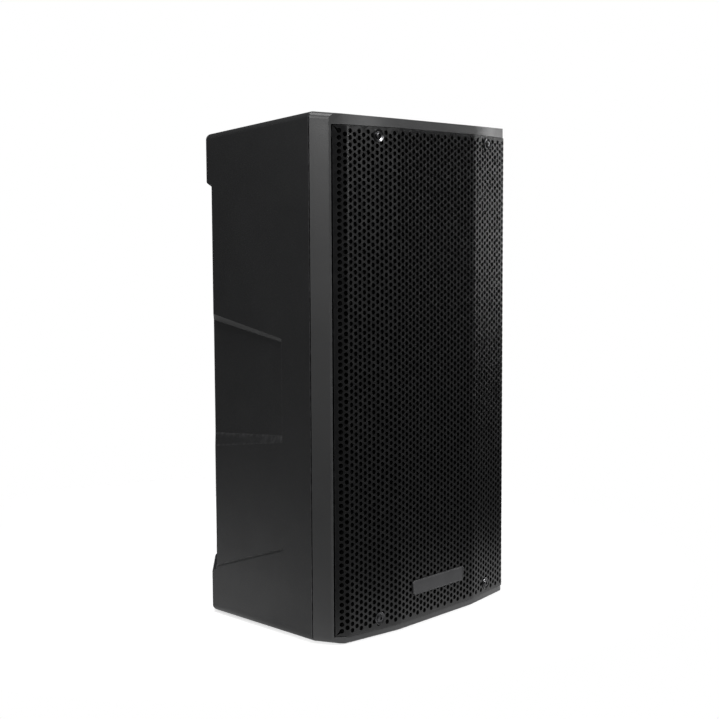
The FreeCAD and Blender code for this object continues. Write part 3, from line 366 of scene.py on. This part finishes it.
BLACK_WORN = (0.16, 0.16, 0.165)
MATERIALS = {
    "shell_plastic": lambda name: moulded_plastic(name, (0.0155, 0.0158, 0.0164), BLACK_WORN, 0.53, wear=0.9),
    # The front baffle's plastic is a lighter copy of the shell's black plastic: painted light that stands in
    # for the light falling on the baffle's front strip.
    "baffle_plastic": lambda name: moulded_plastic(
        name, (0.054, 0.0543, 0.055), BLACK_WORN, 0.42, 0.00006, wear=0.5),
    "gasket_foam": lambda name: foam(name, (0.03, 0.03, 0.03)),
    "zinc_steel": lambda name: bare_metal(name, (0.60, 0.60, 0.58), 0.34),
    "black_steel": lambda name: coated_metal(name, (0.06, 0.06, 0.063), (0.5, 0.5, 0.5), 0.24, metallic=0.9),
    "grille_steel": lambda name: coated_metal(name, (0.008, 0.008, 0.0084), (0.10, 0.10, 0.10), 0.31),
    "acoustic_foam": lambda name: foam(name, (0.004, 0.004, 0.004)),
    "badge_metal": lambda name: coated_metal(name, (0.042, 0.042, 0.044), (0.3, 0.3, 0.3), 0.42, 0.00003),
    "foot_rubber": lambda name: rubber(name, (0.018, 0.018, 0.018)),
    "wadding": lambda name: foam(name, (0.55, 0.55, 0.52), 300.0),
    "basket_steel": lambda name: coated_metal(name, (0.02, 0.02, 0.022), (0.35, 0.35, 0.35), 0.4),
    "cone_paper": lambda name: pressed_paper(name, (0.025, 0.025, 0.026)),
    "surround_cloth": lambda name: woven_cloth(name, (0.03, 0.03, 0.03)),
    "spider_cloth": lambda name: woven_cloth(name, (0.55, 0.40, 0.16)),
    "coil_copper": lambda name: wound_copper(name, (0.75, 0.36, 0.16)),
    "ferrite": lambda name: sintered_ferrite(name, (0.05, 0.05, 0.055)),
    "plated_steel": lambda name: bare_metal(name, (0.58, 0.58, 0.56), 0.36),
    "waveguide_plastic": lambda name: moulded_plastic(name, (0.022, 0.022, 0.024), BLACK_WORN, 0.48),
    "dome_metal": lambda name: bare_metal(name, (0.72, 0.72, 0.74), 0.2, (1.0, 1.0, 1.0)),
    "panel_paint": lambda name: coated_metal(name, (0.020, 0.020, 0.022), (0.4, 0.4, 0.4), 0.46, 0.00008),
    "heatsink_aluminium": lambda name: coated_metal(
        name, (0.03, 0.03, 0.033), (0.4, 0.4, 0.4), 0.4, metallic=0.7),
    "circuit_board": lambda name: solder_mask(name, (0.02, 0.11, 0.05)),
    "jack_plastic": lambda name: moulded_plastic(name, (0.016, 0.016, 0.017), BLACK_WORN, 0.36, 0.00003),
    "contact_metal": lambda name: bare_metal(name, (0.80, 0.62, 0.28), 0.25),
    "knob_plastic": lambda name: moulded_plastic(name, (0.030, 0.030, 0.032), BLACK_WORN, 0.45, 0.00004),
    "button_plastic": lambda name: moulded_plastic(name, (0.42, 0.42, 0.42), (0.6, 0.6, 0.6), 0.4, 0.00003),
    "latch_metal": lambda name: bare_metal(name, (0.62, 0.62, 0.62), 0.3),
    "rocker_plastic": lambda name: moulded_plastic(name, (0.014, 0.014, 0.014), BLACK_WORN, 0.2, 0.00001),
    "fuse_glass": clear_glass,
    "light_lens": lambda name: light_lens(name, (0.05, 0.45, 0.12)),
    "lead_insulation": lambda name: rubber(name, (0.25, 0.02, 0.02), 0.5),
}
FINISH = {slot: make(slot) for slot, make in MATERIALS.items()}
SLOT_OF = {part["node"]: part["material_slot"] for part in frame["record"]["subparts"]}
BODY_OF = {name: body for body, names in frame["record"]["behaviour"]["bodies"].items() for name in names}


def dress(thing, slot):
    thing.data.materials.clear()
    thing.data.materials.append(FINISH[slot])


def dress_cad_nodes():
    for name, thing in NODES.items():
        for holder in thing.material_slots:
            holder.material = FINISH[SLOT_OF[name]]


# ---------------------------------------------------------------- mesh helpers

def made_piece(name, mesh_builder, slot, body, *nodes):
    """Turn a bmesh into an object that rides on a body and stands for CAD nodes."""
    mesh = bpy.data.meshes.new(name)
    mesh_builder.to_mesh(mesh)
    mesh_builder.free()
    thing = bpy.data.objects.new(name, mesh)
    bpy.context.scene.collection.objects.link(thing)
    dress(thing, slot)
    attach(thing, body)
    if nodes:
        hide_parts(*nodes)
    return thing


def smooth(thing, angle=35.0):
    for face in thing.data.polygons:
        face.use_smooth = True
    thing.data.set_sharp_from_angle(angle=math.radians(angle))


def softened(node, width, segments=2):
    """A copy of a CAD node whose hard edges are broken by a small bevel, where there is room for one."""
    builder = bmesh.new()
    builder.from_mesh(NODES[node].data)
    bmesh.ops.remove_doubles(builder, verts=builder.verts, dist=1e-6)
    bmesh.ops.dissolve_limit(builder, angle_limit=math.radians(0.5), verts=builder.verts, edges=builder.edges)
    weight = builder.edges.layers.float.new("bevel_weight_edge")
    for edge in builder.edges:
        roomy = all(face.calc_area() > width * 3 * edge.calc_length() for face in edge.link_faces)
        if edge.calc_face_angle(0.0) > EDGE_ANGLE and roomy:
            edge[weight] = 1.0
    thing = made_piece(node + "_finished", builder, SLOT_OF[node], BODY_OF[node], node)
    bevel = thing.modifiers.new("edge break", "BEVEL")
    bevel.width = width
    bevel.segments = segments
    bevel.limit_method = "WEIGHT"
    smooth(thing)
    flats = thing.modifiers.new("flat faces", "WEIGHTED_NORMAL")
    flats.keep_sharp = True


def plain_ring(angle):
    return 1.0


def hexagon_ring(angle):
    sector = math.pi / 3
    return math.cos(sector / 2) / math.cos(angle % sector - sector / 2)


def fluted_ring(angle):
    return 1.0 + 0.035 * math.cos(18 * angle)


def lathe(builder, rings, place, turn=Matrix.Identity(3), steps=36):
    """Closed turned form from rings of (radius, height, outline), its height along the turned Z."""
    loops = []
    for radius, height, shape in rings:
        loop = []
        for step in range(steps):
            angle = 2 * math.pi * step / steps
            reach = radius * shape(angle)
            spot = Vector((reach * math.cos(angle), reach * math.sin(angle), height))
            loop.append(builder.verts.new(place + turn @ spot))
        loops.append(loop)
    for lower, upper in zip(loops, loops[1:]):
        for step in range(steps):
            after = (step + 1) % steps
            builder.faces.new((lower[step], lower[after], upper[after], upper[step]))
    builder.faces.new(loops[0][::-1])
    builder.faces.new(loops[-1])


# ---------------------------------------------------------------- grille

def fold_spot(along, front):
    """Place in plan of a distance measured along the folded sheet from its middle."""
    corners = [Vector(spot) for spot in (
        (0.0, 0.0), (FOLD_HALF, 0.0), (WING_HALF, WING_BACK), (LIP_HALF, LIP_BACK))]
    left = abs(along)
    for start, end in zip(corners, corners[1:]):
        length = (end - start).length
        if left <= length or end is corners[-1]:
            spot = start + (end - start) * (left / length)
            break
        left -= length
    return Vector((math.copysign(spot.x, along), front + spot.y))


def bent_spot(along, front):
    """The same with the folds rounded to the bend radius of the press."""
    samples = [fold_spot(along + BEND_REACH * step / 3, front) for step in range(-3, 4)]
    return sum(samples, Vector((0.0, 0.0))) / len(samples)


def sheet_half_length():
    wing = math.hypot(WING_HALF - FOLD_HALF, WING_BACK)
    lip = math.hypot(LIP_HALF - WING_HALF, LIP_BACK - WING_BACK)
    return FOLD_HALF + wing + lip


def solid_sheet(thing, thickness):
    solid = thing.modifiers.new("sheet thickness", "SOLIDIFY")
    solid.thickness = thickness
    solid.offset = -1.0
    solid.use_even_offset = True


def perforated_grille():
    """Folded steel sheet with staggered round holes in upright columns."""
    low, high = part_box("grille")
    front = low.y
    half = sheet_half_length()
    corner = HOLE_PITCH / math.sqrt(3)
    column_step = corner * 1.5
    columns = int((half - PLAIN_EDGE - HOLE_RADIUS) / column_step)
    rows = int((high.z - low.z - 2 * PLAIN_EDGE) / HOLE_PITCH)
    first = (low.z + high.z) / 2 - (rows - 1) * HOLE_PITCH / 2
    last = first + (rows - 1) * HOLE_PITCH
    edge = columns * column_step + corner * 0.49
    builder = bmesh.new()
    shared = {}

    def rim(along, height):
        """Corner shared by neighbouring cells, pulled out to the sheet's edge where it is outermost."""
        if abs(along) > edge:
            along = math.copysign(half, along)
        if height > last - HOLE_PITCH * 0.05:
            height = high.z
        if height < first + HOLE_PITCH * 0.05:
            height = low.z
        key = (round(along, 6), round(height, 6))
        if key not in shared:
            flat = bent_spot(along, front)
            shared[key] = builder.verts.new((flat.x, flat.y, height))
        return shared[key]

    for column in range(-columns, columns + 1):
        stagger = column % 2
        for row in range(rows - stagger):
            along = column * column_step
            height = first + (row + stagger / 2) * HOLE_PITCH
            hole = []
            cell = []
            for side in range(HOLE_SIDES):
                angle = 2 * math.pi * side / HOLE_SIDES
                reach = HOLE_PITCH / 2 if side % 2 else corner
                flat = bent_spot(along + HOLE_RADIUS * math.cos(angle), front)
                hole.append(builder.verts.new((flat.x, flat.y, height + HOLE_RADIUS * math.sin(angle))))
                cell.append(rim(along + reach * math.cos(angle), height + reach * math.sin(angle)))
            for side in range(HOLE_SIDES):
                after = (side + 1) % HOLE_SIDES
                corners = [hole[side], cell[side], cell[after], hole[after]]
                if cell[side] is not cell[after]:
                    builder.faces.new(corners)
    grille = made_piece("perforated_grille", builder, "grille_steel", "cabinet", "grille")
    solid_sheet(grille, SHEET_THICK)


def foam_backing():
    """Acoustic foam behind the holes, with the soft unevenness of a glued sheet."""
    low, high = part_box("grille_foam")
    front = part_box("grille")[0].y + FOAM_SET
    half = sheet_half_length() - FOAM_SIDE
    builder = bmesh.new()
    across = int(2 * half / FOAM_STEP)
    upward = int((high.z - low.z) / FOAM_STEP)
    grid = []
    for row in range(upward + 1):
        height = low.z + (high.z - low.z) * row / upward
        line = []
        for column in range(across + 1):
            along = -half + 2 * half * column / across
            flat = bent_spot(along, front)
            swell = FOAM_SWELL * math.sin(along * 61.0 + height * 23.0) * math.cos(height * 47.0)
            line.append(builder.verts.new((flat.x, flat.y + FOAM_LIFT + swell, height)))
        grid.append(line)
    for lower, upper in zip(grid, grid[1:]):
        for column in range(across):
            builder.faces.new((lower[column], lower[column + 1], upper[column + 1], upper[column]))
    backing = made_piece("foam_backing", builder, "acoustic_foam", "cabinet", "grille_foam")
    solid_sheet(backing, FOAM_THICK)
    smooth(backing)


def grille_fixings():
    """Socket-head screws in dished washers that hold the grille at its corners."""
    low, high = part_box("grille_screws")
    radius = (high.x - low.x) / 2 - FIXING_HALF
    wing_turn = math.atan2(WING_BACK, WING_HALF - FOLD_HALF)
    depth = (FIXING_HALF - FOLD_HALF) * math.tan(wing_turn)
    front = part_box("grille")[0].y
    builder = bmesh.new()
    rings = [
        (radius * 1.75, -0.0002, plain_ring), (radius * 1.75, 0.0009, plain_ring),
        (radius * 1.66, 0.0013, plain_ring), (radius * 1.52, 0.0012, plain_ring),
        (radius * 1.12, 0.0002, plain_ring), (radius * 1.0, 0.0002, plain_ring),
        (radius * 1.0, 0.0010, plain_ring), (radius * 0.86, 0.0017, plain_ring),
        (radius * 0.52, 0.0019, hexagon_ring), (radius * 0.50, 0.0004, hexagon_ring),
    ]
    for side in (-1, 1):
        for height in (low.z + radius, high.z - radius):
            normal = Vector((side * math.sin(wing_turn), -math.cos(wing_turn), 0.0))
            turn = normal.to_track_quat("Z", "Y").to_matrix()
            lathe(builder, rings, Vector((side * FIXING_HALF, front + depth, height)), turn)
    fixings = made_piece("grille_fixings", builder, "black_steel", "cabinet", "grille_screws")
    smooth(fixings)


def badge():
    """Blank badge with chamfered corners and a raised border."""
    low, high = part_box("badge_plate")
    middle = (low + high) / 2
    half_long = (high.x - low.x) / 2
    half_tall = (high.z - low.z) / 2
    builder = bmesh.new()

    def outline(inset, depth):
        across = half_long - inset
        up = half_tall - inset
        corner = BADGE_CUT - inset * 0.4
        right = [(across - corner - BADGE_TAPER, -up), (across - BADGE_TAPER, -up + corner),
                 (across, up - corner), (across - corner, up)]
        left = [(-x, z) for x, z in reversed(right)]
        return [builder.verts.new((middle.x + x, depth, middle.z + z)) for x, z in right + left]

    front = low.y
    loops = [outline(0.0, high.y), outline(0.0, front + 0.0005), outline(0.0005, front),
             outline(0.0013, front), outline(0.0017, front + 0.0006)]
    for outer, inner in zip(loops, loops[1:]):
        for spot in range(8):
            after = (spot + 1) % 8
            builder.faces.new((outer[spot], outer[after], inner[after], inner[spot]))
    builder.faces.new(loops[0][::-1])
    builder.faces.new(loops[-1])
    bmesh.ops.recalc_face_normals(builder, faces=builder.faces)
    made_piece("badge", builder, "badge_metal", "cabinet", "badge_plate")


# ---------------------------------------------------------------- soft parts inside

def turned_ring(name, profile, centre, slot, node, steps=144):
    """A thin ring turned about the woofer's axis, from (radius, depth) points of its closed section."""
    builder = bmesh.new()
    loops = []
    for step in range(steps):
        angle = 2 * math.pi * step / steps
        across, up = math.cos(angle), math.sin(angle)
        loops.append([
            builder.verts.new((centre.x + radius * across, depth, centre.z + radius * up))
            for radius, depth in profile
        ])
    for loop, after in zip(loops, loops[1:] + loops[:1]):
        for spot in range(len(profile)):
            beyond = (spot + 1) % len(profile)
            builder.faces.new((loop[spot], loop[beyond], after[beyond], after[spot]))
    bmesh.ops.recalc_face_normals(builder, faces=builder.faces)
    ring = made_piece(name, builder, slot, "cabinet", node)
    smooth(ring, 50.0)
    return ring


def woofer_surround():
    """Half roll of cloth with a narrow glued rim round its outer edge."""
    low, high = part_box("woofer_surround")
    centre = (low + high) / 2
    outer = (high.x - low.x) / 2
    rise = high.y - low.y
    crown = rise - CLOTH_THICK
    middle = outer - ROLL_RIM - crown
    front = []
    for step in range(ROLL_STEPS + 1):
        angle = math.pi * step / ROLL_STEPS
        front.append((middle + rise * math.cos(angle), high.y - rise * math.sin(angle)))
    back = [(middle + (radius - middle) * crown / rise, high.y - (high.y - depth) * crown / rise)
            for radius, depth in reversed(front)]
    rim = [(outer, high.y), (outer, high.y - CLOTH_THICK)]
    roll = turned_ring("surround_roll", rim + front[1:] + back, centre, "surround_cloth", "woofer_surround")


def woofer_spider():
    """Corrugated cloth disc that centres the voice coil."""
    low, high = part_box("woofer_spider")
    centre = (low + high) / 2
    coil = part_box("woofer_voice_coil")
    inner = (coil[1].x - coil[0].x) / 2 + SPIDER_GAP
    outer = (high.x - low.x) / 2
    swing = (high.y - low.y - CLOTH_THICK) / 2
    front = []
    for step in range(SPIDER_STEPS + 1):
        share = step / SPIDER_STEPS
        wave = swing * math.cos(2 * math.pi * SPIDER_WAVES * share)
        front.append((inner + (outer - inner) * share, low.y + swing + wave))
    back = [(radius, depth + CLOTH_THICK) for radius, depth in reversed(front)]
    disc = turned_ring("spider_disc", front + back, centre, "spider_cloth", "woofer_spider")


def damping_pads():
    """Wadding pads glued inside the cabinet, with soft edges and an uneven loft."""
    builder = bmesh.new()
    builder.from_mesh(NODES["damping_foam"].data)
    bmesh.ops.remove_doubles(builder, verts=builder.verts, dist=1e-6)
    bmesh.ops.dissolve_limit(builder, angle_limit=math.radians(0.5), verts=builder.verts, edges=builder.edges)
    pads = made_piece("damping_pads", builder, "wadding", "cabinet", "damping_foam")
    remesh = pads.modifiers.new("even faces", "REMESH")
    remesh.mode = "VOXEL"
    remesh.voxel_size = PAD_VOXEL
    ease = pads.modifiers.new("soft edges", "SMOOTH")
    ease.factor = 0.6
    ease.iterations = 4
    clouds = bpy.data.textures.new("loft", "CLOUDS")
    clouds.noise_scale = PAD_LOFT_SIZE
    loft = pads.modifiers.new("uneven loft", "DISPLACE")
    loft.texture = clouds
    loft.strength = PAD_LOFT
    loft.mid_level = 1.0
    smooth(pads, 80.0)


# ---------------------------------------------------------------- cabinet and controls

def cabinet_pieces():
    softened("rear_shell", 0.0014, 3)
    softened("front_baffle", 0.0012, 3)
    softened("grip_cups", 0.001)
    softened("rubber_feet", 0.0008)
    softened("pole_socket", 0.0005)


def amplifier_pieces():
    for node in ("amp_panel", "mains_inlet", "power_switch_housing", "fuse_drawer", "combo_jacks",
                 "link_output"):
        softened(node, 0.0003)
    softened("heatsink", 0.0003, 1)
    softened("power_rocker", 0.0004)
    for node in ("line_button_left", "line_button_right", "combo_latch_left", "combo_latch_middle"):
        softened(node, 0.0003)


def fluted_knob(node):
    """Control knob with a fluted grip, a domed cap and a pointer line."""
    low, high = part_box(node)
    middle = (low + high) / 2
    radius = (high.x - low.x) / 2
    skirt = high.y - 0.0095
    turn = Matrix.Rotation(math.radians(-90.0), 3, "X")
    builder = bmesh.new()
    lathe(builder, [
        (radius * 0.92, 0.0, plain_ring), (radius, 0.0004, plain_ring), (radius, 0.0014, plain_ring),
        (radius * 0.93, 0.0022, plain_ring), (radius * 0.80, 0.0026, plain_ring),
        (radius * 0.80, 0.0030, fluted_ring), (radius * 0.74, 0.0088, fluted_ring),
        (radius * 0.68, 0.0094, plain_ring), (radius * 0.5, 0.0095, plain_ring),
        (radius * 0.46, 0.0092, plain_ring),
    ], Vector((middle.x, skirt, middle.z)), turn, 108)
    lathe(builder, [
        (0.003, 0.0, plain_ring), (0.003, skirt - low.y + 0.0005, plain_ring),
    ], Vector((middle.x, low.y, middle.z)), turn, 24)
    knob = made_piece(node + "_finished", builder, SLOT_OF[node], BODY_OF[node], node)
    smooth(knob, 40.0)
    line = bmesh.new()
    spot = Vector((middle.x, skirt + 0.0091, middle.z + radius * 0.52))
    size = Vector((0.0009, 0.0014, radius * 0.46))
    bmesh.ops.create_cube(line, size=1.0, matrix=Matrix.LocRotScale(spot, None, size))
    bmesh.ops.bevel(line, geom=line.edges, offset=0.00018, segments=2, affect="EDGES")
    made_piece(node + "_pointer", line, "button_plastic", BODY_OF[node])


# ---------------------------------------------------------------- floor, light and camera

def pale_floor():
    """Pale round floor, mostly behind the speaker, that fades into the white surroundings."""
    builder = bmesh.new()
    bmesh.ops.create_circle(builder, cap_ends=True, segments=128, radius=FLOOR_FADE_END)
    mesh = bpy.data.meshes.new("floor")
    builder.to_mesh(mesh)
    builder.free()
    floor = bpy.data.objects.new("floor", mesh)
    floor.location = FLOOR_MIDDLE + Vector((0.0, 0.0, FLOOR_LEVEL - 0.0002))
    bpy.context.scene.collection.objects.link(floor)
    shader = Shader("pale floor")
    shader.colour(shader.mixed(shader.noise(3.0), (0.90, 0.90, 0.90), (0.93, 0.93, 0.93)))
    shader.settings(Emission_Color=(1.0, 1.0, 1.0, 1.0), Emission_Strength=FLOOR_GLOW)
    shader.rough(shader.ramp(shader.noise(40.0), 0.55, 0.7))
    shader.bump((shader.noise(300.0), 0.00002))
    reach = shader.node("ShaderNodeVectorMath", operation="LENGTH")
    shader.link(shader.coordinates, reach.inputs[0])
    fade = shader.ramp(reach.outputs["Value"], 1.0, 0.0, FLOOR_FADE_START, FLOOR_FADE_END)
    shader.link(fade, shader.surface.inputs["Alpha"])
    floor.data.materials.append(shader.material)


def soft_box(name, place, target, size, power):
    light = bpy.data.lights.new(name, "AREA")
    light.shape = "RECTANGLE"
    light.size, light.size_y = size
    light.energy = power
    lamp = bpy.data.objects.new(name, light)
    lamp.location = place
    lamp.rotation_euler = (Vector(target) - Vector(place)).to_track_quat("-Z", "Y").to_euler()
    bpy.context.scene.collection.objects.link(lamp)


def studio():
    """White surroundings for the camera, and a dim room with soft boxes for the speaker."""
    world = bpy.data.worlds.new("studio")
    bpy.context.scene.world = world
    world.use_nodes = True
    tree = world.node_tree
    background = tree.nodes["Background"]
    path = tree.nodes.new("ShaderNodeLightPath")
    level = tree.nodes.new("ShaderNodeMapRange")
    level.inputs["To Min"].default_value = ROOM_LIGHT
    level.inputs["To Max"].default_value = 1.0
    tree.links.new(path.outputs["Is Camera Ray"], level.inputs["Value"])
    tree.links.new(level.outputs["Result"], background.inputs["Strength"])
    background.inputs["Color"].default_value = (1.0, 1.0, 1.0, 1.0)
    soft_box("left box", (-1.6, -0.05, 1.05), (0.0, -0.1, 0.5), (0.25, 0.4), 9.4)
    soft_box("front box", (0.5, -2.3, 1.6), (0.0, -0.1, 0.4), (0.7, 0.9), 52.0)
    soft_box("right box", (2.4, -0.35, 0.7), (0.0, -0.1, 0.4), (0.4, 0.9), 8.0)
    soft_box("top box", (-0.6, 0.1, 2.2), (0.0, 0.0, 0.5), (0.8, 0.8), 20.0)
    bpy.context.scene.view_settings.view_transform = "Standard"


def camera():
    ahead = Vector((
        math.sin(CAMERA_TURN) * math.cos(CAMERA_TILT), math.cos(CAMERA_TURN) * math.cos(CAMERA_TILT),
        -math.sin(CAMERA_TILT),
    ))
    lens = bpy.data.cameras.new("camera")
    lens.lens = CAMERA_LENS
    lens.sensor_width = 36.0
    viewer = bpy.data.objects.new("camera", lens)
    turn = ahead.to_track_quat("-Z", "Y") @ Matrix.Rotation(CAMERA_ROLL, 3, "Z").to_quaternion()
    viewer.location = CAMERA_PLACE
    viewer.rotation_mode = "QUATERNION"
    viewer.rotation_quaternion = turn
    bpy.context.scene.collection.objects.link(viewer)
    bpy.context.scene.camera = viewer


def main():
    dress_cad_nodes()
    perforated_grille()
    foam_backing()
    grille_fixings()
    badge()
    woofer_surround()
    woofer_spider()
    damping_pads()
    cabinet_pieces()
    amplifier_pieces()
    for node in ("volume_knob_left", "volume_knob_right", "preset_knob"):
        fluted_knob(node)
    pale_floor()
    studio()
    camera()


main()
